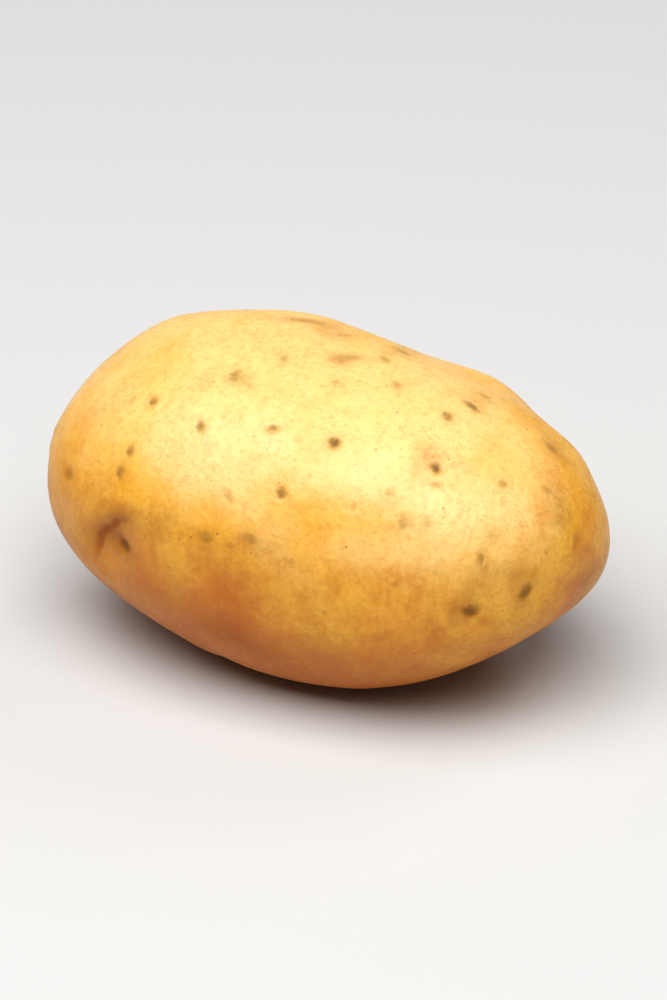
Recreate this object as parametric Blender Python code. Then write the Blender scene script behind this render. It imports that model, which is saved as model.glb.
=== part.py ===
"""A washed, yellow-skinned potato, lying on its side. Run it in Blender: it makes one closed object.

+X is the rose end, where most eyes sit, and -X is the stem end, where the tuber hung on its stolon.
+Z is up, and the origin is on the surface that the potato lies on, under the middle of its box.
"""

import math

import bmesh
import bpy
import numpy as np
from mathutils import Vector, noise
from mathutils.bvhtree import BVHTree

MM = 0.001  # metres

# Driving sizes, over everything
LENGTH = 100 * MM
WIDTH = 65 * MM
HEIGHT = 56 * MM

# The oblong body, before its swells
CELLS = 28  # quads along each edge of the cube that the body is blown up from
BLUNTNESS = 2.3  # 2 is an ellipsoid, and more gives fuller shoulders and blunter ends
TAPER = 0.06  # share of its girth that the body loses towards the rose end, and gains towards the stem end
BOW = 1.5 * MM  # how far the middle stands out towards the back of its two ends

# Broad swells and hollows: name, heading round from +X, height above the level, spread, rise. The angles
# are in degrees, on the ball that the body is blown up from.
SWELLS = (
    ("stem end", 195, -4, 36, 2.8 * MM),
    ("stem end, top corner", 160, 42, 26, 2.0 * MM),
    ("back slope", 70, 47, 32, -2.0 * MM),
    ("rose end, back corner", 34, 18, 22, -1.5 * MM),
    ("rose end", 12, -2, 24, 1.2 * MM),
    ("rose end, underside", 345, -38, 28, -3.2 * MM),
    ("stem end, underside", 222, -34, 26, -1.5 * MM),
    ("belly, front", 290, -55, 38, 2.8 * MM),
    ("belly, back", 90, -62, 34, 2.0 * MM),
    ("stem end, shoulder", 158, 41, 8, 0.7 * MM),
    ("crown", 114, 53, 12, 1.3 * MM),
    ("crown, towards the rose end", 58, 42, 9, 1.6 * MM),
    ("rose end, shoulder", 29, 26, 9, 0.8 * MM),
)

# Unevenness of the whole skin
RIPPLE_RISE = 0.45 * MM
RIPPLE_LENGTH = 19 * MM
FINE_RIPPLE = 2.3  # how many times finer the second, smaller ripple is
FINE_SHARE = 0.4  # rise of the finer ripple, as a share of the first one's
RIPPLE_START = Vector((3.1, 7.4, 1.7))  # where in the endless noise this potato was cut out

# Eyes: name, heading and height as seen from the middle, turn of the brow, width across the tuber, depth
EYES = (
    ("front", 225, -2, 42, 15 * MM, 1.8 * MM),
    ("upper", 329, 34, 10, 10 * MM, 0.5 * MM),
    ("rose, front", 339, 2, -15, 9 * MM, 0.7 * MM),
    ("rose, front low", 327, -1, 20, 9 * MM, 0.6 * MM),
    ("rose, tip", 12, -12, 10, 9 * MM, 0.9 * MM),
    ("rose, back", 38, 16, -20, 10 * MM, 0.9 * MM),
    ("rose, back low", 48, -26, 15, 10 * MM, 0.9 * MM),
    ("crown", 112, 60, -10, 10 * MM, 0.6 * MM),
    ("back", 70, 10, 12, 12 * MM, 1.0 * MM),
    ("back, stem side", 146, 8, -12, 12 * MM, 1.2 * MM),
    ("back low", 118, -40, 8, 12 * MM, 1.1 * MM),
    ("underside", 248, -48, -8, 11 * MM, 0.6 * MM),
)
EYE_SQUASH = 0.6  # length of an eye along the tuber, as a share of its width
HOLLOW_FALL = 2.0  # how fast the hollow rises again away from its middle
BROW_SHARE = 0.4  # rise of the brow, the ridge on an eye's stem side, as a share of the eye's depth
BROW_BACK = 0.75  # how far the brow stands behind the middle, as a share of the eye's length
BROW_ARCH = 0.7  # how far the brow's two tips bend round the eye, as a share of its length
BROW_THIN = 2.3  # how fast the brow falls to either side
BROW_SHORT = 1.8  # how fast the brow falls towards its tips

# The scar at the stem end
SCAR_WIDTH = 9 * MM
SCAR_DEPTH = 1.6 * MM

# The spot that the potato lies on
SPOT_DEPTH = 1.3 * MM  # how much of the belly the flat spot takes off
SPOT_EASE = 0.5 * MM  # height over which the belly rounds off into the flat

SKIN_COLOUR = (0.80, 0.50, 0.13, 1.0)
SKIN_ROUGHNESS = 0.48


def clear_scene():
    for thing in list(bpy.data.objects):
        bpy.data.objects.remove(thing, do_unlink=True)


def direction(heading, height):
    """Unit vector of a heading round from +X and a height above the level, both in degrees."""
    level = math.cos(math.radians(height))
    return Vector(
        (
            level * math.cos(math.radians(heading)),
            level * math.sin(math.radians(heading)),
            math.sin(math.radians(height)),
        )
    )


def blown_cube():
    """A bmesh of a cube whose gridded faces are blown up into a unit ball of even quads."""
    ball = bmesh.new()
    bmesh.ops.create_cube(ball, size=2)
    bmesh.ops.subdivide_edges(ball, edges=ball.edges[:], cuts=CELLS - 1, use_grid_fill=True)
    for vert in ball.verts:
        vert.co = Vector([math.tan(c * math.pi / 4) for c in vert.co]).normalized()
    return ball


def oblong(ways):
    """Points of the plain body for unit directions: blunt ends, a taper to the rose end and a slight bow."""
    radius = (np.abs(ways) ** BLUNTNESS).sum(axis=1, keepdims=True) ** (-1 / BLUNTNESS)
    points = ways * radius * np.array((LENGTH, WIDTH, HEIGHT)) / 2
    along = points[:, 0] / (LENGTH / 2)
    points[:, 1:] *= (1 - TAPER * along)[:, None]
    points[:, 1] += BOW * (0.5 - along**2)
    return points


def stretched(points, size):
    """The points, scaled so that their box has the length, width and height in size."""
    return points * np.array(size) / (points.max(axis=0) - points.min(axis=0))


def swells(ways):
    """How far the broad swells and hollows move the skin out, for unit directions."""
    rise = np.zeros(len(ways))
    for _, heading, height, spread, lift in SWELLS:
        apart = np.degrees(np.arccos(np.clip(ways @ np.array(direction(heading, height)), -1, 1)))
        rise += lift * np.exp(-((apart / spread) ** 2))
    return rise


def ripple(points):
    """Gentle unevenness of the skin, from smooth noise at two scales."""
    rise = [
        noise.noise(Vector(point) / RIPPLE_LENGTH + RIPPLE_START)
        + FINE_SHARE * noise.noise(Vector(point) / RIPPLE_LENGTH * FINE_RIPPLE - RIPPLE_START)
        for point in points
    ]
    return RIPPLE_RISE * np.array(rise)


def eye(points, normals, place, outward, turn, width, depth):
    """How far one eye moves the skin out: a shallow hollow with an arched brow on its stem side."""
    level = np.cross(outward, (1, 0, 0))
    level /= np.linalg.norm(level)
    swing = math.radians(turn)
    along = np.cross(level, outward) * math.cos(swing) - level * math.sin(swing)
    across = np.cross(outward, along)
    gap = points - place
    u = gap @ along / (width * EYE_SQUASH)
    v = gap @ across / width
    hollow = -depth * np.exp(-(HOLLOW_FALL**2) * (u**2 + v**2))
    arch = u + BROW_BACK - BROW_ARCH * v**2
    brow = depth * BROW_SHARE * np.exp(-((arch * BROW_THIN) ** 2) - (v * BROW_SHORT) ** 2)
    same_side = np.clip(normals @ outward, 0, 1) ** 2
    return (hollow + brow) * same_side


def scar(points):
    """How far the scar at the stem end moves the skin out: one small round pit."""
    stem = points[np.argmin(points[:, 0])]
    gap = np.linalg.norm(points - stem, axis=1)
    return -SCAR_DEPTH * np.exp(-((gap / SCAR_WIDTH * 2) ** 2))


def lay_flat(points):
    """Rounds the belly off into a small flat spot, and puts that spot on the level at height 0."""
    level = points[:, 2].min() + SPOT_DEPTH
    above = points[:, 2] - level
    eased = np.where(above < SPOT_EASE, (above + SPOT_EASE) ** 2 / (4 * SPOT_EASE), above)
    eased[above < -SPOT_EASE] = 0
    points[:, 2] = eased
    middle = (points.min(axis=0) + points.max(axis=0)) / 2
    points[:, :2] -= middle[:2]
    return points


def normals_of(mesh):
    found = np.empty(len(mesh.vertices) * 3, np.float32)
    mesh.vertex_normals.foreach_get("vector", found)
    return found.reshape(-1, 3).astype(float)


def move(mesh, points):
    mesh.vertices.foreach_set("co", points.astype(np.float32).ravel())
    mesh.update()


def skin_material():
    skin = bpy.data.materials.new("potato_skin")
    skin.use_nodes = True
    shader = skin.node_tree.nodes["Principled BSDF"]
    shader.inputs["Base Color"].default_value = SKIN_COLOUR
    shader.inputs["Roughness"].default_value = SKIN_ROUGHNESS
    return skin


def make_potato():
    ball = blown_cube()
    mesh = bpy.data.meshes.new("potato")
    ball.to_mesh(mesh)
    ball.free()
    ways = np.array([vert.co for vert in mesh.vertices], float)

    points = oblong(ways)
    move(mesh, points)
    points += normals_of(mesh) * swells(ways)[:, None]
    points = stretched(points, (LENGTH, WIDTH, HEIGHT + SPOT_DEPTH))
    move(mesh, points)

    normals = normals_of(mesh)
    lift = ripple(points) + scar(points)
    skin = BVHTree.FromPolygons(points.tolist(), [face.vertices[:] for face in mesh.polygons])
    middle = (points.min(axis=0) + points.max(axis=0) + (0, 0, SPOT_DEPTH)) / 2
    for _, heading, height, turn, width, depth in EYES:
        place, outward, _, _ = skin.ray_cast(Vector(middle), direction(heading, height))
        lift += eye(points, normals, np.array(place), np.array(outward), turn, width, depth)
    points += normals * lift[:, None]
    move(mesh, stretched(lay_flat(points), (LENGTH, WIDTH, HEIGHT)))

    mesh.shade_smooth()
    mesh.materials.append(skin_material())
    potato = bpy.data.objects.new("potato", mesh)
    bpy.context.scene.collection.objects.link(potato)
    return potato


def main():
    clear_scene()
    make_potato()


main()
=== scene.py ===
"""A washed, yellow-skinned potato, lying on its side on a pale studio floor.

This file gives it its skin: a finer mesh with the relief of its eyes, its
stem scar and its lenticels, and the colours that lie on and under that skin. Some of these colours are
painted light and shade: a paler crown and pale patches of painted light, and painted shade low on the belly,
in the eyes' creases and hollows and in a few smears. Lengths are in metres.
"""

import math
import random
from typing import NamedTuple

import bmesh
import bpy
import numpy as np
from bpy.props import FloatProperty, FloatVectorProperty, IntProperty, PointerProperty
from bpy.types import Operator, Panel, PropertyGroup
from bpy_extras.node_shader_utils import PrincipledBSDFWrapper
from mathutils import Matrix, Vector, noise
from mathutils.bvhtree import BVHTree
from mathutils.kdtree import KDTree


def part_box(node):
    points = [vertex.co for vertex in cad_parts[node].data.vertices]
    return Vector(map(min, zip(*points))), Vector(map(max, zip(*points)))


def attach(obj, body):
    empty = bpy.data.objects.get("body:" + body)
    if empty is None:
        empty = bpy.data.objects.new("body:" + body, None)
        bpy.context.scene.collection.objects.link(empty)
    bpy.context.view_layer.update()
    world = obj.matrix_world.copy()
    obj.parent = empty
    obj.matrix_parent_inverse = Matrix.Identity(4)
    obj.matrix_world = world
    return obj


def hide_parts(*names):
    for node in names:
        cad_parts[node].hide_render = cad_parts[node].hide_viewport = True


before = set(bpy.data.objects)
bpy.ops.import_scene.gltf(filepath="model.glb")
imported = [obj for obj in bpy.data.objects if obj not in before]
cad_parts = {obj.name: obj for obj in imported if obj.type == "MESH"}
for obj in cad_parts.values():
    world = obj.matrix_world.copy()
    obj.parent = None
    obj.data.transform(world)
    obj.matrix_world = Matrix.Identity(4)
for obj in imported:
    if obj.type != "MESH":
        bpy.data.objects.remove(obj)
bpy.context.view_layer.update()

bl_info = {
    "name": "Potato Skin",
    "version": (1, 0, 0),
    "blender": (4, 5, 0),
    "location": "View3D > Sidebar > Potato",
    "description": "Grows the skin of a potato over its solid, and sets a small studio round it",
    "category": "Object",
}

MM = 0.001
TUBER = "potato"
SKIN = "potato_skin"

# The tuber's own box, which its eyes are placed from
LOW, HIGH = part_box(TUBER)
MIDDLE = (LOW + HIGH) / 2

# The photograph's view of the tuber
SIGHT_HEADING = 25  # degrees to the right of straight ahead
SIGHT_HEIGHT = 30  # degrees above the level
SIGHT_DISTANCE = 0.9
PHOTO_MIDDLE_ACROSS = 458.5  # the pixel where the middle of the tuber's box shows
PHOTO_MIDDLE_DOWN = 401.5
PHOTO_PIXEL = 0.4766 * MM  # what one pixel spans at the tuber's distance


class Eye(NamedTuple):
    """An eye of the tuber. Its angles are in degrees, as seen from the middle of the tuber's box."""

    name: str
    heading: float
    height: float
    turn: float
    width: float
    depth: float


EYES = (
    Eye("front", 225, -2, 35, 15 * MM, 1.8 * MM),
    Eye("upper", 329, 34, 10, 10 * MM, 0.5 * MM),
    Eye("rose, front", 339, 2, -15, 9 * MM, 0.7 * MM),
    Eye("rose, front low", 327, -1, 20, 9 * MM, 0.6 * MM),
    Eye("rose, tip", 12, -12, 10, 9 * MM, 0.9 * MM),
    Eye("rose, back", 38, 16, -20, 10 * MM, 0.9 * MM),
    Eye("rose, back low", 48, -26, 15, 10 * MM, 0.9 * MM),
    Eye("crown", 112, 60, -10, 10 * MM, 0.6 * MM),
    Eye("back", 70, 10, 12, 12 * MM, 1.0 * MM),
    Eye("back, stem side", 146, 8, -12, 12 * MM, 1.2 * MM),
    Eye("back low", 118, -40, 8, 12 * MM, 1.1 * MM),
    Eye("underside", 248, -48, -8, 11 * MM, 0.6 * MM),
)
EYE_SQUASH = 0.6  # length of an eye along the tuber, as a share of its width
BROW_BACK = 0.75  # how far the brow stands behind the middle, as a share of the eye's length
BROW_ARCH = 0.7  # how far the brow's two tips bend round the eye, as a share of its length
CREASE_AHEAD = 0.38  # how far the crease runs in front of the brow, as a share of the eye's length
CREASE_HALF = 0.12  # half the crease's width, as a share of the eye's length
CREASE_REACH = 0.45  # how far the crease runs to either side, as a share of the eye's width
CREASE_WANDER = 0.10  # how far the crease strays from its arch, as a share of the eye's length
CREASE_KINK = 3 * MM  # how long one of its strays is
LID_AHEAD = 0.12  # how far the lid over the crease is in front of the brow, as a share of the eye's length
LID_HALF = 0.14  # half the lid's width, as a share of the eye's length
LID_SHARE = 0.5  # rise of the lid, as a share of the crease's depth
BUD_MIDDLE = (-0.06, -0.08)  # along and across the eye, as shares of its length and its width
BUD_HALF = (0.13, 0.08)
PIT_MIDDLE = (0.10, 0.09)
PIT_HALF = (0.14, 0.09)
PIT_SHARE = 0.8  # depth of the pit beside the bud, as a share of the bud's rise
DOT_HALF = (0.12, 0.08)  # half sizes of the dark dot in the middle of an eye, as shares of the eye's width
DOT_DARK = 0.5  # how dark that dot would be in an eye without depth, from 0 to 1
DOT_DARKER = 0.4  # how much darker it is in a deep eye
EYE_TINT_REACH = 1.5  # how far an eye's tint and its painted shade spread, in lengths or widths of the eye
DEEP_EYE = 1.3 * MM  # an eye this deep has its crease and bud at their full size

# The stem scar
SCAR_RIM_REACH = 4.2 * MM
SCAR_RIM_HALF = 1.5 * MM
SCAR_CORE_REACH = 2.4 * MM
SCAR_FOLDS = 9  # folds that run into the scar
FOLD_WANDER = 2.5  # how far the folds stray, in radians of their own wave
FOLD_KINK = 6 * MM  # how long one of their strays is
FOLD_RISE = 0.5  # how far they raise and sink the rim, as a share of its own rise
FOLD_TINT = 0.4  # the same for the rim's tint
SCAR_GRAIN = 1.4 * MM
SCAR_ROUGH = 0.35 * MM
RIM_TINT = 0.35  # strength of the rim's tint, as a share of the core's

# Waves in the whole skin: size, rise as a share of the waviness, where in the endless noise they start
WAVES = (
    (13 * MM, 1, 2.3),
    (5 * MM, 0.35, 7.1),
    (1.9 * MM, 0.13, 4.6),
)

# Shallow dints: heading, height, width, depth
DINTS = (
    (262, 62, 15 * MM, 0.25 * MM),
    (300, 24, 12 * MM, 0.20 * MM),
    (335, 14, 9 * MM, 0.35 * MM),
    (215, 30, 10 * MM, 0.20 * MM),
    (352, 12, 7 * MM, 0.30 * MM),
    (40, 40, 11 * MM, 0.30 * MM),
    (95, 22, 14 * MM, 0.25 * MM),
    (165, 25, 9 * MM, 0.30 * MM),
    (190, -28, 12 * MM, 0.25 * MM),
    (60, -30, 12 * MM, 0.30 * MM),
)

# The skin's mesh
WELD = 0.01 * MM
QUAD_BEND = 40  # degrees that two triangles may be bent against each other to be joined to a quad
QUAD_SKEW = 60  # degrees that such a quad's corners may be off square
FINER_LEVELS = 2
EYE_FACING = 6 * MM  # how much skin round a place tells which way an eye or a dint faces
MARK_FACING = 2 * MM  # the same for a lenticel or a smear
FLOOR_EASE = 1 * MM  # height above the floor over which the relief sets in

# Lenticels: their sizes are in half widths of the lenticel, where no length is given
MOST_SLANT = 0.45  # a mark is drawn out by no more than the skin of this foreshortening would need
HIDDEN_SLANT = 0.10  # skin that faces the camera less than this is as good as hidden
SEED = 11
TRIES_EACH = 60
CLEAR_OF_FLOOR = 0.5 * MM
SCATTERED_HALF = (0.45, 1.0, 0.6)  # least, most and usual half width, in millimetres
SCATTERED_STRETCH = (1.0, 1.7)
SCATTERED_DARK = (0.25, 1, 0.6)  # least, most and usual strength
CUP_DEPTH = 0.16 * MM
CUP_FALL = 1.4  # how fast the cup rises again away from its middle
LIP_RISE = 0.05 * MM
LIP_REACH = 1.5
LIP_HALF = 0.55
SINK_REACH = 3.2  # how far from its middle a lenticel still moves the skin

# Sizes of the patterns in the skin's material
CLOUD_SIZE = 24 * MM
MOTTLE_SIZE = 5 * MM
LEATHER_SIZE = 1.1 * MM
STREAK_SIZE = 4.2 * MM
GIRTHWISE = (1, 0.55, 0.55)  # draws the streaks out round the tuber's girth
VEIN_SIZE = 7 * MM
NET_SIZE = 1.9 * MM
NET_PATCH = 12 * MM
PORE_GAP = 2.3 * MM
PEEL_SIZE = 1.5 * MM
TOOTH_SIZE = 0.4 * MM
LENTICEL_RAG = 0.8 * MM  # size of the rags in a lenticel's edge
LENTICEL_STRAY = 0.9 * MM  # how far they move it, from one side to the other
CREASE_RAG = 2.4 * MM
CREASE_STRAY = 0.24  # the same for a crease, as a share of the eye's length

# Where a lenticel's parts begin and where they are full, in half widths from its middle
HEART_FADE = (0.85, 0.15)
CORE_FADE = (1.25, 0.55)
RING_FADE = (2.4, 1.0)

# The same for a crease's line and the painted shade round it: ahead of it or behind it in lengths of the
# eye, aside in widths
LINE_FADE = (0.13, 0.01)
LINE_ASIDE = (0.60, 0.20)
HOLLOW_SHADE_FADE = (0.60, 0.05)
HOLLOW_SHADE_ASIDE = (0.85, 0.15)

# Heights above the floor between which the skin's colour changes: paler and partly painted light towards the
# top, ochre and partly painted shade towards the bottom
PALE_AND_LIT_HEIGHTS = (32 * MM, 56 * MM)
OCHRE_AND_SHADE_HEIGHTS = (34 * MM, 6 * MM)
RIPE_HEIGHTS = (50 * MM, 24 * MM)
# Painted shade: the skin is dimmed between these heights, more so lower down
BELLY_SHADE_HEIGHTS = (34 * MM, 16 * MM)
HEIGHT_STRAY = 60 * MM  # how much higher they are where the cloud is darkest than where it is lightest

# The flesh under the skin
FLESH_GLOW = (1.0, 0.45, 0.15)  # how far red, green and blue light spread in it, against each other
FLESH_DEPTH = 1.6 * MM


class Lamp(NamedTuple):
    """A soft lamp. It hangs at a heading and a height above the level, both in degrees, as seen from the
    middle of the tuber's box. Its distance and its two sizes are in metres."""

    name: str
    heading: float
    height: float
    distance: float
    wide: float
    tall: float


OVERHEAD_LAMP = Lamp("overhead_lamp", 272, 70, 1.05, 1.4, 1.0)
BACK_LAMP = Lamp("back_lamp", 65, 42, 1.2, 0.5, 0.5)
FLOOR_RADIUS = 4
FLOOR_SIDES = 96
FLOOR_CLOUD = 0.4  # size of the floor's faint clouds
FLOOR_CLOUD_TONE = 0.985  # their tone, as a share of the floor's own
LENS_REACH = 20


class Mark(NamedTuple):
    """A lenticel or smear, where the photograph shows it: its middle in pixels, its size as seen from there,
    its lean from upright in degrees, clockwise, and how strong it is, from 0 to 1."""

    across: float
    down: float
    wide: float
    tall: float
    lean: float
    dark: float


LENTICELS = (
    # Stem end and crown
    Mark(392.4, 365.3, 1.8 * MM, 1.9 * MM, 0, 0.80),
    Mark(384.6, 364.8, 1.4 * MM, 2.0 * MM, 10, 0.38),
    Mark(409.9, 374.7, 1.8 * MM, 2.4 * MM, -15, 0.76),
    Mark(436.3, 375.2, 3.0 * MM, 1.6 * MM, 5, 0.72),
    Mark(458.9, 380.4, 2.4 * MM, 2.3 * MM, 0, 1.00),
    Mark(439.2, 399.2, 2.5 * MM, 2.1 * MM, 60, 0.74),
    Mark(420.0, 400.3, 3.0 * MM, 1.7 * MM, 60, 0.36),
    Mark(384.0, 383.8, 1.6 * MM, 2.3 * MM, 10, 0.62),
    Mark(380.5, 391.4, 2.0 * MM, 2.8 * MM, 0, 0.60),
    Mark(361.8, 392.1, 1.7 * MM, 2.6 * MM, 0, 0.45),
    Mark(440.4, 349.7, 1.7 * MM, 1.6 * MM, 0, 0.45),
    Mark(422.3, 355.9, 1.8 * MM, 2.7 * MM, 10, 0.50),
    Mark(427.8, 359.7, 1.4 * MM, 2.4 * MM, -30, 0.30),
    Mark(418.3, 370.6, 1.3 * MM, 1.4 * MM, 0, 0.18),
    # Crown, towards the rose end
    Mark(477.6, 350.0, 2.0 * MM, 1.8 * MM, 0, 0.50),
    Mark(484.0, 347.4, 1.8 * MM, 1.6 * MM, 0, 0.45),
    Mark(481.8, 359.3, 2.2 * MM, 1.6 * MM, 0, 0.42),
    Mark(459.4, 358.4, 1.8 * MM, 1.5 * MM, 0, 0.28),
    Mark(500.2, 370.9, 2.2 * MM, 2.0 * MM, 0, 0.66),
    Mark(509.2, 367.3, 1.8 * MM, 2.7 * MM, -10, 0.68),
    Mark(513.9, 363.6, 1.6 * MM, 1.6 * MM, 0, 0.40),
    Mark(538.4, 382.4, 2.4 * MM, 2.2 * MM, 0, 0.45),
    # Rose end, upper face
    Mark(496.1, 389.8, 2.0 * MM, 2.2 * MM, -20, 0.88),
    Mark(495.8, 395.8, 3.0 * MM, 1.0 * MM, 5, 0.40),
    Mark(520.5, 395.9, 1.9 * MM, 1.8 * MM, 0, 0.50),
    Mark(536.9, 398.2, 2.0 * MM, 1.5 * MM, 0, 0.38),
    Mark(478.8, 399.2, 1.9 * MM, 1.6 * MM, 0, 0.26),
    Mark(465.6, 404.5, 1.5 * MM, 1.9 * MM, 0, 0.28),
    Mark(483.9, 410.3, 1.8 * MM, 2.8 * MM, 5, 0.42),
    Mark(492.7, 409.8, 1.3 * MM, 2.4 * MM, 0, 0.30),
    # Rose end, lower face
    Mark(512.5, 423.2, 1.4 * MM, 2.9 * MM, 5, 0.58),
    Mark(528.7, 435.4, 1.8 * MM, 3.8 * MM, 35, 0.80),
    Mark(508.4, 442.3, 3.6 * MM, 2.2 * MM, 5, 0.80),
    Mark(547.4, 416.6, 1.2 * MM, 3.0 * MM, 20, 0.42),
    Mark(536.4, 420.5, 1.1 * MM, 1.6 * MM, 0, 0.25),
    # Front face, low
    Mark(382.4, 418.3, 2.2 * MM, 2.7 * MM, 5, 0.66),
    Mark(412.2, 415.6, 2.5 * MM, 2.2 * MM, 0, 0.42),
    Mark(420.6, 418.4, 1.5 * MM, 1.3 * MM, 0, 0.30),
    Mark(428.0, 416.0, 3.2 * MM, 1.9 * MM, 20, 0.34),
    Mark(443.0, 424.5, 1.1 * MM, 1.3 * MM, 0, 0.28),
    Mark(455.2, 443.0, 1.2 * MM, 1.2 * MM, 0, 0.25),
    Mark(481.0, 432.5, 1.1 * MM, 1.5 * MM, 0, 0.22),
)

RUSSET = (
    # Crown
    Mark(460.5, 350.4, 3.6 * MM, 2.4 * MM, 0, 1.00),
    Mark(465.5, 349.2, 4.0 * MM, 1.6 * MM, -15, 1.00),
    # Partly painted shade: a thin dark band along the top outline, over russet
    Mark(448.0, 335.9, 12.0 * MM, 1.4 * MM, 9, 1.00),
    Mark(462.0, 341.5, 3.4 * MM, 1.8 * MM, 5, 0.70),
    Mark(483.0, 348.0, 5.0 * MM, 2.0 * MM, 20, 0.45),
    Mark(510.5, 365.5, 6.0 * MM, 4.0 * MM, 30, 0.40),
    Mark(538.4, 381.5, 5.0 * MM, 4.0 * MM, 30, 0.35),
    # Main eye: painted shade in its hollow and along its crease, partly russet
    Mark(376.5, 412.5, 13.0 * MM, 4.0 * MM, -47, 0.45),
    Mark(382.0, 418.0, 5.0 * MM, 6.0 * MM, 0, 0.55),
    Mark(393.0, 409.0, 13.0 * MM, 5.5 * MM, -10, 0.60),
    Mark(372.0, 400.0, 7.0 * MM, 5.0 * MM, 0, 0.30),
    # Front face and rose end
    Mark(412.0, 415.5, 5.0 * MM, 4.0 * MM, 0, 0.40),
    Mark(428.0, 416.5, 7.0 * MM, 3.5 * MM, 15, 0.45),
    Mark(508.0, 440.5, 8.0 * MM, 5.0 * MM, -20, 0.20),
    Mark(524.0, 428.5, 9.0 * MM, 3.0 * MM, 15, 0.25),
    Mark(496.1, 436.4, 5.0 * MM, 4.0 * MM, 0, 0.30),
    Mark(424.0, 452.0, 14.0 * MM, 5.0 * MM, 25, 0.45),
    # Painted shade in the rose end's shallow valley, partly russet
    Mark(541.0, 404.0, 4.0 * MM, 11.0 * MM, -12, 0.40),
    Mark(370.0, 371.0, 6.0 * MM, 6.0 * MM, 0, 0.25),
)

# Painted shade, partly riper ochre skin: patches darker low on the belly, at the stem end and in the rose
# end's shallow valley
SHADE_AND_OCHRE_PATCHES = (
    # Stem end and belly
    Mark(359.0, 401.0, 9.0 * MM, 18.0 * MM, 0, 0.60),
    Mark(388.0, 433.0, 26.0 * MM, 11.0 * MM, 35, 0.85),
    Mark(440.0, 458.0, 44.0 * MM, 10.0 * MM, 10, 0.95),
    Mark(430.0, 427.0, 22.0 * MM, 10.0 * MM, 10, 0.40),
    # Rose end
    Mark(546.0, 398.0, 5.0 * MM, 16.0 * MM, -15, 0.35),
    Mark(534.0, 409.0, 2.4 * MM, 12.0 * MM, 12, 0.50),
    Mark(528.0, 417.0, 2.0 * MM, 9.0 * MM, -8, 0.40),
)

# Painted light: pale patches that stand in for the highlight's lower edge on the crown and the light on the
# rose end's face and the lower front
PAINTED_LIGHT_PATCHES = (
    Mark(465.0, 420.0, 12.0 * MM, 7.0 * MM, 0, 0.70),
    Mark(504.0, 409.0, 24.0 * MM, 16.0 * MM, 0, 1.00),
    Mark(490.0, 421.0, 14.0 * MM, 8.0 * MM, 0, 0.60),
    Mark(470.0, 395.0, 40.0 * MM, 8.0 * MM, 10, 0.50),
)

OLIVE = (
    Mark(409.5, 358.1, 5.0 * MM, 3.4 * MM, 10, 0.60),
    Mark(424.0, 357.0, 5.0 * MM, 3.6 * MM, 30, 0.95),
    Mark(401.5, 369.9, 3.6 * MM, 4.4 * MM, 0, 0.40),
    Mark(409.5, 382.3, 4.4 * MM, 3.4 * MM, 0, 0.45),
    Mark(384.0, 359.5, 3.6 * MM, 6.0 * MM, 0, 0.40),
    Mark(492.9, 383.6, 3.2 * MM, 3.4 * MM, 0, 0.70),
    Mark(496.0, 392.5, 6.0 * MM, 6.0 * MM, 0, 0.30),
    Mark(516.2, 414.6, 4.0 * MM, 3.0 * MM, 0, 0.55),
    Mark(504.8, 388.6, 3.6 * MM, 3.0 * MM, 0, 0.35),
    Mark(504.6, 405.3, 2.2 * MM, 2.4 * MM, 0, 0.35),
    Mark(488.0, 410.0, 7.0 * MM, 3.6 * MM, 0, 0.30),
    Mark(544.5, 408.0, 2.6 * MM, 9.0 * MM, 12, 0.35),
    Mark(550.5, 431.0, 2.4 * MM, 5.0 * MM, 30, 0.35),
    Mark(472.0, 402.0, 10.0 * MM, 4.0 * MM, 10, 0.25),
    Mark(440.4, 350.5, 3.6 * MM, 3.0 * MM, 0, 0.30),
    Mark(461.0, 359.0, 4.0 * MM, 3.0 * MM, 0, 0.30),
)


class TuberSkin(PropertyGroup):
    """Colours and unevenness of the skin between its marks, including painted light and shade."""

    yellow: FloatVectorProperty(
        name="Skin yellow",
        description="Main colour of the washed skin",
        default=(0.82, 0.42, 0.040),
        size=3,
        min=0,
        max=1,
        subtype="COLOR",
    )
    # Also paints light: the paler crown and the pale patches of painted light
    pale: FloatVectorProperty(
        name="Pale crown",
        description="Colour of the thinnest skin, on the crown, where the flesh shows through",
        default=(0.88, 0.58, 0.220),
        size=3,
        min=0,
        max=1,
        subtype="COLOR",
    )
    # Also paints shade: low on the belly, in the shade patches and in the eyes' hollows
    ochre: FloatVectorProperty(
        name="Ochre patches",
        description="Colour of the thicker, riper skin",
        default=(0.60, 0.225, 0.010),
        size=3,
        min=0,
        max=1,
        subtype="COLOR",
    )
    # Painted shade: this tint multiplies the skin darker low on the belly
    deep: FloatVectorProperty(
        name="Painted belly shade",
        description="Tint that dims the skin low on the belly",
        default=(0.86, 0.62, 0.45),
        size=3,
        min=0,
        max=1,
        subtype="COLOR",
    )
    waviness: FloatProperty(
        name="Waviness",
        description="Rise and fall of the skin over about a centimetre",
        default=0.14 * MM,
        min=0,
        max=1 * MM,
        precision=5,
        unit="LENGTH",
    )
    glow: FloatProperty(
        name="Glow",
        description="Share of the light that passes through the skin into the flesh and out again",
        default=0.18,
        min=0,
        max=1,
        subtype="FACTOR",
    )


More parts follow.
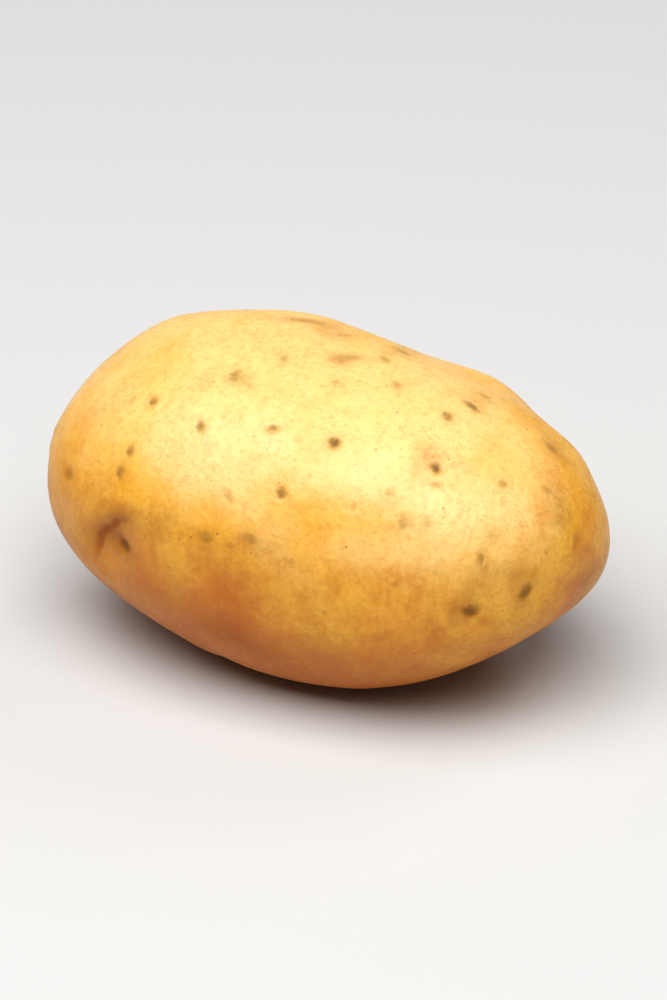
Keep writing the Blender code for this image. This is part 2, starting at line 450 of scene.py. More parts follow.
class TuberMarks(PropertyGroup):
    """Lenticels, russet and the tint in the eyes' creases, some of it painted shade. Each colour dims the
    skin's own colour where it lies.
    """

    # Partly painted shade in the groove of the crease
    crease_umber_and_shade: FloatVectorProperty(
        name="Umber",
        description="Tint of the crease under an eye's brow",
        default=(0.75, 0.51, 0.19),
        size=3,
        min=0,
        max=1,
        subtype="COLOR",
    )
    brown: FloatVectorProperty(
        name="Lenticel brown",
        description="Tint of the dark heart of a lenticel",
        default=(0.44, 0.40, 0.23),
        size=3,
        min=0,
        max=1,
        subtype="COLOR",
    )
    cork: FloatVectorProperty(
        name="Cork",
        description="Tint of the corky core of a lenticel",
        default=(0.53, 0.48, 0.29),
        size=3,
        min=0,
        max=1,
        subtype="COLOR",
    )
    # Some russet smears are painted shade: in the main eye's hollow, along the top outline and in the rose
    # end's valley
    russet: FloatVectorProperty(
        name="Russet",
        description="Tint of the thin corky smears",
        default=(0.52, 0.42, 0.28),
        size=3,
        min=0,
        max=1,
        subtype="COLOR",
    )
    olive: FloatVectorProperty(
        name="Olive",
        description="Tint of the soft smudges under the skin",
        default=(0.55, 0.57, 0.42),
        size=3,
        min=0,
        max=1,
        subtype="COLOR",
    )
    hidden_count: IntProperty(
        name="Lenticels on the hidden sides",
        description="How many lenticels are scattered where the photograph doesn't reach",
        default=80,
        min=0,
        max=400,
    )
    gap: FloatProperty(
        name="Gap between lenticels",
        description="Least distance between two scattered lenticels",
        default=6 * MM,
        min=1 * MM,
        max=40 * MM,
        unit="LENGTH",
    )


class TuberEyes(PropertyGroup):
    """Fine relief in the eyes and round the stem scar."""

    crease: FloatProperty(
        name="Crease",
        description="Depth of the crease under the brow of a deep eye",
        default=0.22 * MM,
        min=0,
        max=1 * MM,
        precision=5,
        unit="LENGTH",
    )
    bud: FloatProperty(
        name="Bud",
        description="Rise of the sleeping bud in the middle of a deep eye",
        default=0.35 * MM,
        min=0,
        max=1 * MM,
        precision=5,
        unit="LENGTH",
    )
    scar_rim: FloatProperty(
        name="Scar rim",
        description="Rise of the puckered rim round the stem scar",
        default=0.12 * MM,
        min=0,
        max=1 * MM,
        precision=5,
        unit="LENGTH",
    )


class StudioStage(PropertyGroup):
    """The floor, the lamps and the camera."""

    floor: FloatVectorProperty(
        name="Floor",
        description="Colour of the floor",
        default=(0.58, 0.577, 0.57),
        size=3,
        min=0,
        max=1,
        subtype="COLOR",
    )
    key: FloatProperty(
        name="Overhead lamp",
        description="Power of the large soft lamp over the potato",
        default=19,
        min=0,
        unit="POWER",
    )
    rim: FloatProperty(
        name="Back lamp",
        description="Power of the smaller soft lamp behind the potato",
        default=2,
        min=0,
        unit="POWER",
    )
    surround: FloatProperty(
        name="Surround",
        description="Brightness of the white room round the stage",
        default=0.10,
        min=0,
    )
    picture_width: FloatProperty(
        name="Picture width",
        description="What the picture spans from side to side at the potato",
        default=116 * MM,
        min=20 * MM,
        unit="LENGTH",
    )


# Directions


def direction(heading, height):
    """Unit vector of a heading round from +X and a height above the level, both in degrees."""
    level = math.cos(math.radians(height))
    return Vector(
        (
            level * math.cos(math.radians(heading)),
            level * math.sin(math.radians(heading)),
            math.sin(math.radians(height)),
        )
    )


def sight():
    """The photograph's right, up and towards-the-camera directions."""
    back = direction(SIGHT_HEADING - 90, SIGHT_HEIGHT)
    right = Vector((0, 0, 1)).cross(back).normalized()
    return right, back.cross(right), back


# The skin's mesh


def quads_of(node):
    """Points and faces of the solid, with its triangles joined to quads."""
    body = bmesh.new()
    body.from_mesh(node.data)
    bmesh.ops.remove_doubles(body, verts=body.verts, dist=WELD)
    bmesh.ops.join_triangles(
        body,
        faces=body.faces,
        angle_face_threshold=math.radians(QUAD_BEND),
        angle_shape_threshold=math.radians(QUAD_SKEW),
    )
    body.verts.index_update()
    points = [vert.co.copy() for vert in body.verts]
    faces = [[vert.index for vert in face.verts] for face in body.faces]
    body.free()
    return points, faces


def finer(piece, levels):
    """Puts the piece's subdivided form in the place of its mesh."""
    divide = piece.modifiers.new("finer", "SUBSURF")
    divide.levels = divide.render_levels = levels
    graph = bpy.context.evaluated_depsgraph_get()
    mesh = bpy.data.meshes.new_from_object(piece.evaluated_get(graph))
    piece.modifiers.clear()
    old = piece.data
    piece.data = mesh
    bpy.data.meshes.remove(old)
    mesh.name = piece.name
    return mesh


def vectors_of(items, field):
    """One vector of each of a mesh's items, as rows of numbers."""
    found = np.empty(len(items) * 3, np.float32)
    items.foreach_get(field, found)
    return found.reshape(-1, 3).astype(float)


def move(mesh, points):
    mesh.vertices.foreach_set("co", points.astype(np.float32).ravel())
    mesh.update()


def noise_at(points, size, start):
    """Smooth noise between about -1 and 1 at each point, with bumps of a given size."""
    shift = Vector((start, 2 * start, -start))
    return np.array([noise.noise(Vector(point) / size + shift) for point in points])


class Skin:
    """The skin as it is worked on: its points, which way each faces, and how far each is to be raised."""

    def __init__(self, mesh):
        self.mesh = mesh
        self.points = vectors_of(mesh.vertices, "co")
        self.normals = vectors_of(mesh.vertex_normals, "vector")
        self.lift = np.zeros(len(self.points))
        self.tints = {}
        self.eye_places = np.zeros((len(self.points), 3))
        self.tree = BVHTree.FromPolygons(self.points.tolist(), [face.vertices[:] for face in mesh.polygons])
        self.near = KDTree(len(self.points))
        for index, point in enumerate(self.points):
            self.near.insert(point, index)
        self.near.balance()

    def place_at(self, heading, height):
        """Where a line from the middle of the tuber leaves the skin, and which way the skin faces there."""
        place, _, _, _ = self.tree.ray_cast(MIDDLE, direction(heading, height))
        return place, self.facing(place, EYE_FACING)

    def facing(self, place, reach):
        """Which way the skin within reach of a place faces, on the whole."""
        near = [index for _, index, _ in self.near.find_range(place, reach)]
        return Vector(self.normals[near].sum(axis=0)).normalized()

    def tint(self, name):
        """The amounts, from 0 to 1, of one tint at every point."""
        return self.tints.setdefault(name, np.zeros(len(self.points)))

    def finish(self):
        """Raises the points, fits them to the frame's box again, and stores the tints on the mesh."""
        off_floor = np.clip(self.points[:, 2] / FLOOR_EASE, 0, 1)
        points = self.points + self.normals * (self.lift * off_floor)[:, None]
        low, high = points.min(axis=0), points.max(axis=0)
        move(self.mesh, np.array(LOW) + (points - low) * (np.array(HIGH - LOW) / (high - low)))
        for name, amounts in self.tints.items():
            layer = self.mesh.attributes.new(name, "FLOAT", "POINT")
            layer.data.foreach_set("value", np.clip(amounts, 0, 1).astype(np.float32))
        layer = self.mesh.attributes.new("eye_place", "FLOAT_VECTOR", "POINT")
        layer.data.foreach_set("vector", self.eye_places.astype(np.float32).ravel())


# Relief


def wavy(skin, rise):
    """Gentle waves over a centimetre, with finer ones on them."""
    for size, share, start in WAVES:
        skin.lift += share * rise * noise_at(skin.points, size, start)


def knob(u, v, middle, half):
    """A soft round rise of 1 in an eye, with its middle and half sizes along and across that eye."""
    return np.exp(-(((u - middle[0]) / half[0]) ** 2) - ((v - middle[1]) / half[1]) ** 2)


def grow_eye(skin, eye, crease_depth, bud_rise):
    """The crease under an eye's brow and the bud in its hollow. Returns the dark dot in its middle."""
    place, outward = skin.place_at(eye.heading, eye.height)
    level = outward.cross((1, 0, 0)).normalized()
    swing = math.radians(eye.turn)
    along = level.cross(outward) * math.cos(swing) - level * math.sin(swing)
    across = outward.cross(along)
    gap = skin.points - place
    u = gap @ along / (eye.width * EYE_SQUASH)
    v = gap @ across / eye.width
    same_side = np.clip(skin.normals @ outward, 0, 1) ** 2
    size = min(1, eye.depth / DEEP_EYE)
    wander = CREASE_WANDER * noise_at(skin.points, CREASE_KINK, eye.heading / 10)
    arch = u + BROW_BACK - BROW_ARCH * v**2 + wander
    ends = np.exp(-((v / CREASE_REACH) ** 4)) * same_side
    crease = np.exp(-(((arch - CREASE_AHEAD) / CREASE_HALF) ** 2)) * ends
    lid = np.exp(-(((arch - LID_AHEAD) / LID_HALF) ** 2)) * ends
    bud = knob(u, v, BUD_MIDDLE, BUD_HALF) * same_side
    pit = knob(u, v, PIT_MIDDLE, PIT_HALF) * same_side
    skin.lift += size * (bud_rise * (bud - PIT_SHARE * pit) - crease_depth * (crease - LID_SHARE * lid))
    near = np.clip(EYE_TINT_REACH - np.hypot(u, v), 0, 1) * same_side * size
    closest = near > skin.eye_places[:, 2]
    skin.eye_places[closest] = np.stack([u, v, near], axis=1)[closest]
    long_half, short_half = (share * eye.width for share in DOT_HALF)
    return Spot(place, outward, across, long_half, short_half, DOT_DARK + DOT_DARKER * size)


def pucker_scar(skin, rim_rise):
    """The corky pit where the tuber hung: a puckered rim, fine folds running into it, and a rough middle."""
    stem = skin.points[np.argmin(skin.points[:, 0])]
    gap = skin.points - stem
    reach = np.hypot(gap[:, 1], gap[:, 2])
    same_side = skin.normals[:, 0] < 0
    round_it = np.arctan2(gap[:, 2], gap[:, 1])
    rim = np.exp(-(((reach - SCAR_RIM_REACH) / SCAR_RIM_HALF) ** 2)) * same_side
    folds = np.cos(SCAR_FOLDS * round_it + FOLD_WANDER * noise_at(skin.points, FOLD_KINK, 5.5))
    core = np.exp(-((reach / SCAR_CORE_REACH) ** 2)) * same_side
    skin.lift += rim * rim_rise * (1 + FOLD_RISE * folds)
    skin.lift += core * SCAR_ROUGH * noise_at(skin.points, SCAR_GRAIN, 1.2)
    skin.tint("scar_tint")[:] += core + RIM_TINT * rim * (1 - FOLD_TINT + FOLD_TINT * folds)


def dimple(skin, heading, height, width, depth):
    """A shallow dint in the skin."""
    place, outward = skin.place_at(heading, height)
    gap = np.linalg.norm(skin.points - place, axis=1)
    skin.lift -= depth * np.exp(-((gap / width * 2) ** 2)) * (skin.normals @ outward > 0)


# Lenticels and smears


class Spot(NamedTuple):
    """A mark on the skin: its middle, the way the skin faces there, its longer direction, its half sizes
    and its strength from 0 to 1."""

    place: Vector
    outward: Vector
    longways: Vector
    long_half: float
    short_half: float
    dark: float


def spot_from_photo(skin, mark):
    """The spot on the skin that the photograph shows at a pixel, as large and leaning as it shows there."""
    right, up, back = sight()
    across = (mark.across - PHOTO_MIDDLE_ACROSS) * PHOTO_PIXEL
    down = (mark.down - PHOTO_MIDDLE_DOWN) * PHOTO_PIXEL
    lens = MIDDLE + back * SIGHT_DISTANCE
    aim = MIDDLE + right * across - up * down - lens
    place, _, _, _ = skin.tree.ray_cast(lens, aim.normalized())
    if place is None:
        raise RuntimeError(f"no skin behind the mark at {mark.across}, {mark.down} of the photograph")
    outward = skin.facing(place, MARK_FACING)
    lean = math.radians(mark.lean)
    tall_way = up * math.cos(lean) + right * math.sin(lean)
    wide_way = right * math.cos(lean) - up * math.sin(lean)
    tall_way, wide_way = (way - outward * way.dot(outward) for way in (tall_way, wide_way))
    tall = mark.tall / 2 / max(tall_way.length, MOST_SLANT)
    wide = mark.wide / 2 / max(wide_way.length, MOST_SLANT)
    longways, long_half, short_half = (tall_way, tall, wide) if tall >= wide else (wide_way, wide, tall)
    return Spot(place, outward, longways.normalized(), long_half, short_half, mark.dark)


def hidden(outward):
    """Whether skin that faces this way is out of the photograph's sight, or nearly so."""
    _, _, back = sight()
    return outward.dot(back) < HIDDEN_SLANT


def scattered_spots(skin, taken, count, gap):
    """Lenticels on the sides that the photograph hides, sized and spaced as on the side that it shows."""
    draw = random.Random(SEED)
    spots = []
    for _ in range(count * TRIES_EACH):
        if len(spots) == count:
            break
        index = draw.randrange(len(skin.points))
        place = Vector(skin.points[index])
        outward = Vector(skin.normals[index])
        apart = all((place - spot.place).length > gap for spot in taken + spots)
        if not (hidden(outward) and apart and place.z > CLEAR_OF_FLOOR):
            continue
        longways = outward.orthogonal().normalized()
        longways.rotate(Matrix.Rotation(draw.uniform(0, math.tau), 3, outward))
        short_half = draw.triangular(*SCATTERED_HALF) * MM
        long_half = short_half * draw.uniform(*SCATTERED_STRETCH)
        dark = draw.triangular(*SCATTERED_DARK)
        spots.append(Spot(place, outward, longways, long_half, short_half, dark))
    return spots


def sink_spots(skin, spots):
    """Sinks the middle of each lenticel a little and raises its rim, more so in a dark one."""
    for spot in spots:
        for point, index, gap in skin.near.find_range(spot.place, SINK_REACH * spot.long_half):
            away = (point - spot.place).dot(spot.longways)
            aside = math.sqrt(max(gap**2 - away**2, 0))
            reach = math.hypot(away / spot.long_half, aside / spot.short_half)
            cup = math.exp(-(reach**2) * CUP_FALL)
            lip = math.exp(-(((reach - LIP_REACH) / LIP_HALF) ** 2))
            skin.lift[index] += spot.dark * (LIP_RISE * lip - CUP_DEPTH * cup)


def mark_spots(skin, spots):
    """Gives each face the lenticel nearest to it, which the skin's material then draws at its true edge."""
    near = KDTree(len(spots))
    for index, spot in enumerate(spots):
        near.insert(spot.place, index)
    near.balance()
    nearest = [near.find(face.center)[1] for face in skin.mesh.polygons]
    axes = [
        spot.longways * math.sqrt(1 - (spot.short_half / spot.long_half) ** 2) / spot.short_half
        for spot in spots
    ]
    for name, kind, field, values in (
        ("lenticel_place", "FLOAT_VECTOR", "vector", [spot.place for spot in spots]),
        ("lenticel_axis", "FLOAT_VECTOR", "vector", axes),
        ("lenticel_reach", "FLOAT", "value", [1 / spot.short_half for spot in spots]),
        ("lenticel_dark", "FLOAT", "value", [spot.dark for spot in spots]),
    ):
        layer = skin.mesh.attributes.new(name, kind, "FACE")
        layer.data.foreach_set(field, np.array(values, np.float32)[nearest].ravel())


def smear(skin, spot, tint):
    """A soft, long patch of a tint."""
    gap = skin.points - spot.place
    away = gap @ spot.longways / spot.long_half
    aside = np.sqrt(np.maximum((gap**2).sum(axis=1) - (gap @ spot.longways) ** 2, 0)) / spot.short_half
    skin.tint(tint)[:] += spot.dark * np.exp(-(away**2) - aside**2)


# The skin's material


class Recipe:
    """A material that is built up node by node."""

    def __init__(self, name):
        self.material = bpy.data.materials.new(name)
        self.material.use_nodes = True
        self.tree = self.material.node_tree
        self.shader = PrincipledBSDFWrapper(self.material, is_readonly=False).node_principled_bsdf

    def node(self, kind, sockets, **settings):
        """Adds a node, with its sockets linked or set by name or number."""
        made = self.tree.nodes.new(kind)
        for name, value in settings.items():
            setattr(made, name, value)
        for name, value in sockets.items():
            self.feed(made.inputs[name], value)
        return made

    def feed(self, socket, value):
        if isinstance(value, bpy.types.NodeSocket):
            self.tree.links.new(value, socket)
        else:
            socket.default_value = value

    def math(self, operation, first, second=0.0, third=0.0, clamp=False):
        sockets = {0: first, 1: second, 2: third}
        return self.node("ShaderNodeMath", sockets, operation=operation, use_clamp=clamp).outputs[0]

    def times(self, first, second, clamp=False):
        return self.math("MULTIPLY", first, second, clamp=clamp)

    def vector(self, operation, first, second=(0, 0, 0), scale=1.0):
        sockets = {0: first, 1: second, 3: scale}
        made = self.node("ShaderNodeVectorMath", sockets, operation=operation)
        return made.outputs["Value" if operation in ("LENGTH", "DOT_PRODUCT") else "Vector"]

    def noise(self, where, size, detail=2.0, roughness=0.5):
        sockets = {"Vector": where, "Scale": 1 / size, "Detail": detail, "Roughness": roughness}
        return self.node("ShaderNodeTexNoise", sockets)

    def cells(self, where, size, feature):
        return self.node("ShaderNodeTexVoronoi", {"Vector": where, "Scale": 1 / size}, feature=feature)

    def fade(self, value, start, end, low=0.0, high=1.0):
        """Eases from low at start to high at end."""
        sockets = {"Value": value, "From Min": start, "From Max": end, "To Min": low, "To Max": high}
        return self.node("ShaderNodeMapRange", sockets, interpolation_type="SMOOTHSTEP").outputs["Result"]

    def thread(self, value, width):
        """A thin line where a value that runs from 0 to 1 passes the middle."""
        return self.fade(self.math("ABSOLUTE", self.math("SUBTRACT", value, 0.5)), width, 0.0)

    def mix(self, amount, under, over, blend="MIX"):
        sockets = {0: amount, 6: under, 7: over}
        made = self.node("ShaderNodeMix", sockets, data_type="RGBA", blend_type=blend)
        return made.outputs[2]

    def attribute(self, name, output="Fac"):
        return self.node("ShaderNodeAttribute", {}, attribute_name=name).outputs[output]


def lenticel_masks(recipe, where):
    """How much each point lies in its lenticel's dark heart, in its brown core and in the ring round it."""
    ragged = recipe.vector("SUBTRACT", recipe.noise(where, LENTICEL_RAG).outputs["Color"], (0.5, 0.5, 0.5))
    moved = recipe.vector("ADD", where, recipe.vector("SCALE", ragged, scale=LENTICEL_STRAY))
    gap = recipe.vector("SUBTRACT", moved, recipe.attribute("lenticel_place", "Vector"))
    whole = recipe.times(recipe.vector("LENGTH", gap), recipe.attribute("lenticel_reach"))
    long_part = recipe.vector("DOT_PRODUCT", gap, recipe.attribute("lenticel_axis", "Vector"))
    squares = (recipe.math("POWER", part, 2.0) for part in (whole, long_part))
    reach = recipe.math("SQRT", recipe.math("MAXIMUM", recipe.math("SUBTRACT", *squares), 0.0))
    dark = recipe.attribute("lenticel_dark")
    heart = recipe.times(recipe.fade(reach, *HEART_FADE), recipe.fade(dark, 0.3, 1.0, 0.2, 1.0))
    core = recipe.times(recipe.fade(reach, *CORE_FADE), dark)
    ring = recipe.times(recipe.fade(reach, *RING_FADE), dark)
    return heart, core, ring


def eye_masks(recipe, where):
    """How much each point lies on the thin line of an eye's crease, which is partly painted shade, and in
    the painted shade that spreads from it into the eye's hollow.
    """
    parts = recipe.node("ShaderNodeSeparateXYZ", {0: recipe.attribute("eye_place", "Vector")}).outputs
    along, across, near = parts["X"], parts["Y"], parts["Z"]
    rags = recipe.noise(where, CREASE_RAG, 4.0).outputs["Fac"]
    ragged = recipe.math("MULTIPLY_ADD", rags, CREASE_STRAY, -CREASE_STRAY / 2)
    bent = recipe.math("ADD", along, recipe.times(recipe.times(across, across), -BROW_ARCH))
    arch = recipe.math("ADD", bent, recipe.math("ADD", ragged, BROW_BACK - CREASE_AHEAD))
    gap = recipe.math("ABSOLUTE", arch)
    aside = recipe.math("ABSOLUTE", across)
    line = recipe.times(recipe.fade(gap, *LINE_FADE), recipe.fade(aside, *LINE_ASIDE))
    hollow_shade = recipe.times(recipe.fade(gap, *HOLLOW_SHADE_FADE), recipe.fade(aside, *HOLLOW_SHADE_ASIDE))
    deep = recipe.fade(near, 0.45, 0.95)
    return recipe.times(line, deep), recipe.times(hollow_shade, near)


def netting_mask(recipe, where):
    """Fine net of cracks, which shows in patches."""
    net = recipe.noise(where, NET_SIZE, 3.0, 0.6).outputs["Fac"]
    patches = recipe.noise(where, NET_PATCH, 3.0).outputs["Fac"]
    return recipe.times(recipe.thread(net, 0.030), recipe.fade(patches, 0.46, 0.66))


def pore_mask(recipe, where):
    """Tiny pores, in the middle of some of the skin's cells."""
    cells = recipe.cells(where, PORE_GAP, "F1")
    chosen = recipe.node("ShaderNodeSeparateColor", {0: cells.outputs["Color"]}).outputs[0]
    return recipe.times(recipe.fade(cells.outputs["Distance"], 0.15, 0.05), recipe.fade(chosen, 0.45, 1.0))


def plain_skin(recipe, where, look, mottle, leather):
    """Yellow skin, paler towards the top and deeper down the belly, with blotches, streaks, veins and grain.
    The paler top is partly painted light, the ochre low on the belly partly painted shade, the dimming there
    painted shade, and the pale patches painted light.
    """
    cloud = recipe.noise(where, CLOUD_SIZE, 3.0).outputs["Fac"]
    girthwise = recipe.vector("MULTIPLY", where, GIRTHWISE)
    streaks = recipe.noise(girthwise, STREAK_SIZE, 4.0, 0.55).outputs["Fac"]
    veins = recipe.noise(where, VEIN_SIZE, 3.0, 0.55).outputs["Fac"]
    level = recipe.node("ShaderNodeSeparateXYZ", {0: where}).outputs["Z"]
    level = recipe.math("MULTIPLY_ADD", recipe.math("SUBTRACT", cloud, 0.5), HEIGHT_STRAY, level)
    pale = recipe.attribute("pale")
    ripe = recipe.fade(level, *RIPE_HEIGHTS, 0.15, 0.60)
    ripe = recipe.times(ripe, recipe.fade(pale, 0.0, 1.0, 1.0, 0.25))
    # Paler towards the top: partly thin skin, partly painted light
    colour = recipe.mix(recipe.fade(level, *PALE_AND_LIT_HEIGHTS), (*look.yellow, 1), (*look.pale, 1))
    for amount, tone in (
        # Ochre towards the bottom: partly riper skin, partly painted shade
        (recipe.fade(level, *OCHRE_AND_SHADE_HEIGHTS, 0.0, 0.70), look.ochre),
        # Painted light from the pale patches
        (recipe.times(pale, 0.9), look.pale),
        # Ochre patches: painted shade, partly riper skin
        (recipe.times(recipe.attribute("ochre"), 0.8), look.ochre),
        (recipe.times(recipe.fade(mottle, 0.46, 0.72), ripe), look.ochre),
        (recipe.times(recipe.fade(streaks, 0.48, 0.70), ripe), look.ochre),
        (recipe.times(recipe.times(recipe.thread(veins, 0.035), ripe), 0.55), look.ochre),
        (recipe.fade(leather, 0.46, 0.72, 0.0, 0.30), look.ochre),
        (recipe.fade(leather, 0.50, 0.28, 0.0, 0.15), look.pale),
    ):
        colour = recipe.mix(amount, colour, (*tone, 1))
    # Painted shade: dims the skin towards the bottom of the belly
    return recipe.mix(recipe.fade(level, *BELLY_SHADE_HEIGHTS), colour, (*look.deep, 1), "MULTIPLY")


def skin_material(look, marks):
    """Thin yellow skin over pale flesh, with its lenticels, russet, creases and scar, and painted light and
    shade on the crown, belly and eyes.
    """
    recipe = Recipe(SKIN)
    where = recipe.node("ShaderNodeTexCoord", {}).outputs["Object"]
    mottle = recipe.noise(where, MOTTLE_SIZE, 5.0, 0.6).outputs["Fac"]
    leather = recipe.noise(where, LEATHER_SIZE, 5.0, 0.62).outputs["Fac"]
    netting = netting_mask(recipe, where)
    pores = pore_mask(recipe, where)
    # The russet smears are partly painted shade in the main eye, along the top outline and at the rose end
    smeared = recipe.times(recipe.attribute("russet"), recipe.fade(mottle, 0.30, 0.56, 0.45, 1.0))
    smudged = recipe.times(recipe.attribute("olive"), recipe.fade(leather, 0.25, 0.60, 0.3, 1.0))
    crease_and_shade, hollow_shade = eye_masks(recipe, where)
    scarred = recipe.attribute("scar_tint")
    heart, core, ring = lenticel_masks(recipe, where)

    colour = plain_skin(recipe, where, look, mottle, leather)
    colour = recipe.mix(recipe.times(netting, 0.30), colour, (*marks.russet, 1), "MULTIPLY")
    colour = recipe.mix(recipe.times(pores, 0.70), colour, (*marks.brown, 1), "MULTIPLY")
    # Painted shade in the hollows of the eyes, in ochre
    colour = recipe.mix(recipe.times(hollow_shade, 0.65), colour, (*look.ochre, 1))
    for amount, share, tint in (
        (smudged, 0.75, marks.olive),
        (smeared, 0.80, marks.russet),
        (ring, 0.25, marks.cork),
        # The crease's umber is partly painted shade in its groove
        (crease_and_shade, 0.90, marks.crease_umber_and_shade),
        (scarred, 0.90, marks.brown),
        (core, 0.90, marks.cork),
        (heart, 0.95, marks.brown),
    ):
        colour = recipe.mix(recipe.times(amount, share, clamp=True), colour, (*tint, 1), "MULTIPLY")

    rough = recipe.fade(mottle, 0.3, 0.7, 0.35, 0.45)
    for corky, amount in ((core, 0.35), (smeared, 0.20), (scarred, 0.35), (netting, 0.10), (crease_and_shade, 0.2)):
        rough = recipe.math("MULTIPLY_ADD", corky, amount, rough)

    # Rises in millimetres
    height = recipe.times(recipe.noise(where, PEEL_SIZE, 3.0, 0.55).outputs["Fac"], 0.16)
    for part, rise in (
        (recipe.noise(where, TOOTH_SIZE).outputs["Fac"], 0.030),
        (netting, 0.015),
        (pores, -0.05),
        (core, -0.12),
        (ring, 0.05),
        (crease_and_shade, -0.12),
        (recipe.times(smeared, leather), 0.08),
        (recipe.times(scarred, leather), 0.25),
    ):
        height = recipe.math("MULTIPLY_ADD", part, rise, height)
    bump = recipe.node("ShaderNodeBump", {"Height": height, "Distance": MM, "Strength": 1.0})

    recipe.feed(recipe.shader.inputs["Base Color"], colour)
    recipe.feed(recipe.shader.inputs["Roughness"], rough)
    recipe.feed(recipe.shader.inputs["Normal"], bump.outputs["Normal"])
    recipe.shader.inputs["Subsurface Weight"].default_value = look.glow
    recipe.shader.inputs["Subsurface Radius"].default_value = FLESH_GLOW
    recipe.shader.inputs["Subsurface Scale"].default_value = FLESH_DEPTH
    recipe.shader.inputs["Specular IOR Level"].default_value = 0.5
    return recipe.material


class TUBER_OT_grow_skin(Operator):
    """Grow the potato's skin over its solid, with every eye, lenticel and smear"""

    bl_idname = "tuber.grow_skin"
    bl_label = "Grow skin"

    def execute(self, context):
        scene = context.scene
        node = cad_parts[TUBER]
        points, faces = quads_of(node)
        mesh = bpy.data.meshes.new(SKIN)
        mesh.from_pydata(points, [], faces)
        piece = bpy.data.objects.new(SKIN, mesh)
        scene.collection.objects.link(piece)
        skin = Skin(finer(piece, FINER_LEVELS))

        wavy(skin, scene.tuber_skin.waviness)
        dots = [grow_eye(skin, eye, scene.tuber_eyes.crease, scene.tuber_eyes.bud) for eye in EYES]
        pucker_scar(skin, scene.tuber_eyes.scar_rim)
        for heading, height, width, depth in DINTS:
            dimple(skin, heading, height, width, depth)

        spots = [spot_from_photo(skin, mark) for mark in LENTICELS]
        spots += [dot for dot in dots if hidden(dot.outward)]
        spots += scattered_spots(skin, spots, scene.tuber_marks.hidden_count, scene.tuber_marks.gap)
        sink_spots(skin, spots)
        mark_spots(skin, spots)
        for tint, smears in (("russet", RUSSET), ("ochre", SHADE_AND_OCHRE_PATCHES), ("pale", PAINTED_LIGHT_PATCHES), ("olive", OLIVE)):
            for mark in smears:
                smear(skin, spot_from_photo(skin, mark), tint)
        skin.finish()

        skin.mesh.shade_smooth()
        skin.mesh.materials.append(skin_material(scene.tuber_skin, scene.tuber_marks))
        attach(piece, "root")
        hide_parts(TUBER)
        return {"FINISHED"}


# The stage


def hang(lamp, power):
    """Hangs a lamp so that it shines on the potato."""
    light = bpy.data.lights.new(lamp.name, "AREA")
    light.shape = "RECTANGLE"
    light.size = lamp.wide
    light.size_y = lamp.tall
    light.energy = power
    way = direction(lamp.heading, lamp.height)
    stand = bpy.data.objects.new(lamp.name, light)
    stand.location = MIDDLE + way * lamp.distance
    stand.rotation_euler = way.to_track_quat("Z", "Y").to_euler()
    bpy.context.scene.collection.objects.link(stand)


def floor_material(tone):
    """Plain matt paper, with the faintest cloudiness."""
    recipe = Recipe("floor_paper")
    where = recipe.node("ShaderNodeTexCoord", {}).outputs["Object"]
    cloud = recipe.noise(where, FLOOR_CLOUD).outputs["Fac"]
    deeper = (*[channel * FLOOR_CLOUD_TONE for channel in tone], 1)
    recipe.feed(recipe.shader.inputs["Base Color"], recipe.mix(cloud, (*tone, 1), deeper))
    recipe.shader.inputs["Roughness"].default_value = 0.9
    recipe.shader.inputs["Specular IOR Level"].default_value = 0.1
    return recipe.material


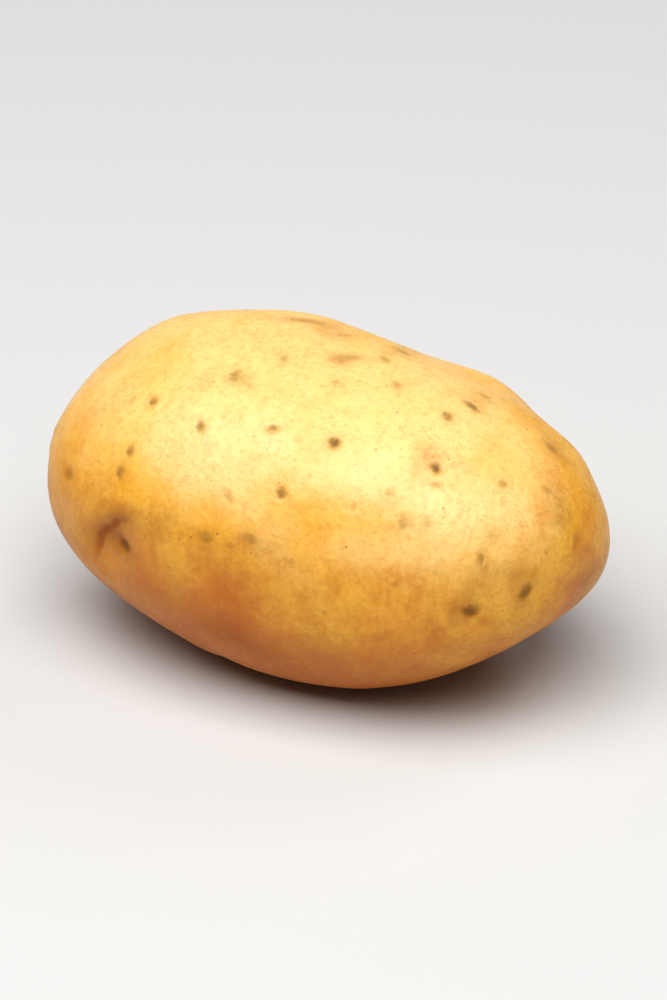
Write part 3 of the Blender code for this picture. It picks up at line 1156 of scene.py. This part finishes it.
class TUBER_OT_set_stage(Operator):
    """Lay the floor, hang the lamps and stand the camera where the photograph was taken from"""

    bl_idname = "tuber.set_stage"
    bl_label = "Set stage"

    def execute(self, context):
        scene = context.scene
        stage = scene.studio_stage

        disc = bmesh.new()
        bmesh.ops.create_circle(disc, cap_ends=True, segments=FLOOR_SIDES, radius=FLOOR_RADIUS)
        mesh = bpy.data.meshes.new("floor")
        disc.to_mesh(mesh)
        disc.free()
        mesh.materials.append(floor_material(stage.floor))
        floor = bpy.data.objects.new("floor", mesh)
        scene.collection.objects.link(floor)

        hang(OVERHEAD_LAMP, stage.key)
        hang(BACK_LAMP, stage.rim)
        room = bpy.data.worlds.new("white_room")
        room.use_nodes = True
        glow = room.node_tree.nodes["Background"]
        glow.inputs["Color"].default_value = (1, 1, 1, 1)
        glow.inputs["Strength"].default_value = stage.surround
        scene.world = room

        scene.view_settings.view_transform = "Standard"
        scene.view_settings.look = "Medium High Contrast"
        _, _, back = sight()
        optics = bpy.data.cameras.new("camera")
        optics.sensor_fit = "HORIZONTAL"
        optics.lens = optics.sensor_width * SIGHT_DISTANCE / stage.picture_width
        optics.clip_end = LENS_REACH
        camera = bpy.data.objects.new("camera", optics)
        camera.location = MIDDLE + back * SIGHT_DISTANCE
        camera.rotation_euler = back.to_track_quat("Z", "Y").to_euler()
        scene.collection.objects.link(camera)
        scene.camera = camera
        return {"FINISHED"}


class TUBER_PT_studio(Panel):
    """Settings and steps of the potato and its stage"""

    bl_label = "Potato"
    bl_idname = "TUBER_PT_studio"
    bl_space_type = "VIEW_3D"
    bl_region_type = "UI"
    bl_category = "Potato"

    def draw(self, context):
        scene = context.scene
        steps = (
            (TUBER_OT_grow_skin, (scene.tuber_skin, scene.tuber_marks, scene.tuber_eyes)),
            (TUBER_OT_set_stage, (scene.studio_stage,)),
        )
        for step, groups in steps:
            box = self.layout.box()
            for group in groups:
                for name in group.__annotations__:
                    box.prop(group, name)
            box.operator(step.bl_idname)


GROUPS = {
    "tuber_skin": TuberSkin,
    "tuber_marks": TuberMarks,
    "tuber_eyes": TuberEyes,
    "studio_stage": StudioStage,
}
CLASSES = (*GROUPS.values(), TUBER_OT_grow_skin, TUBER_OT_set_stage, TUBER_PT_studio)


def register():
    for each in CLASSES:
        bpy.utils.register_class(each)
    for name, group in GROUPS.items():
        setattr(bpy.types.Scene, name, PointerProperty(type=group))


def unregister():
    for name in GROUPS:
        delattr(bpy.types.Scene, name)
    for each in reversed(CLASSES):
        bpy.utils.unregister_class(each)


def main():
    register()
    bpy.ops.tuber.grow_skin()
    bpy.ops.tuber.set_stage()


if __name__ == "__main__":
    main()
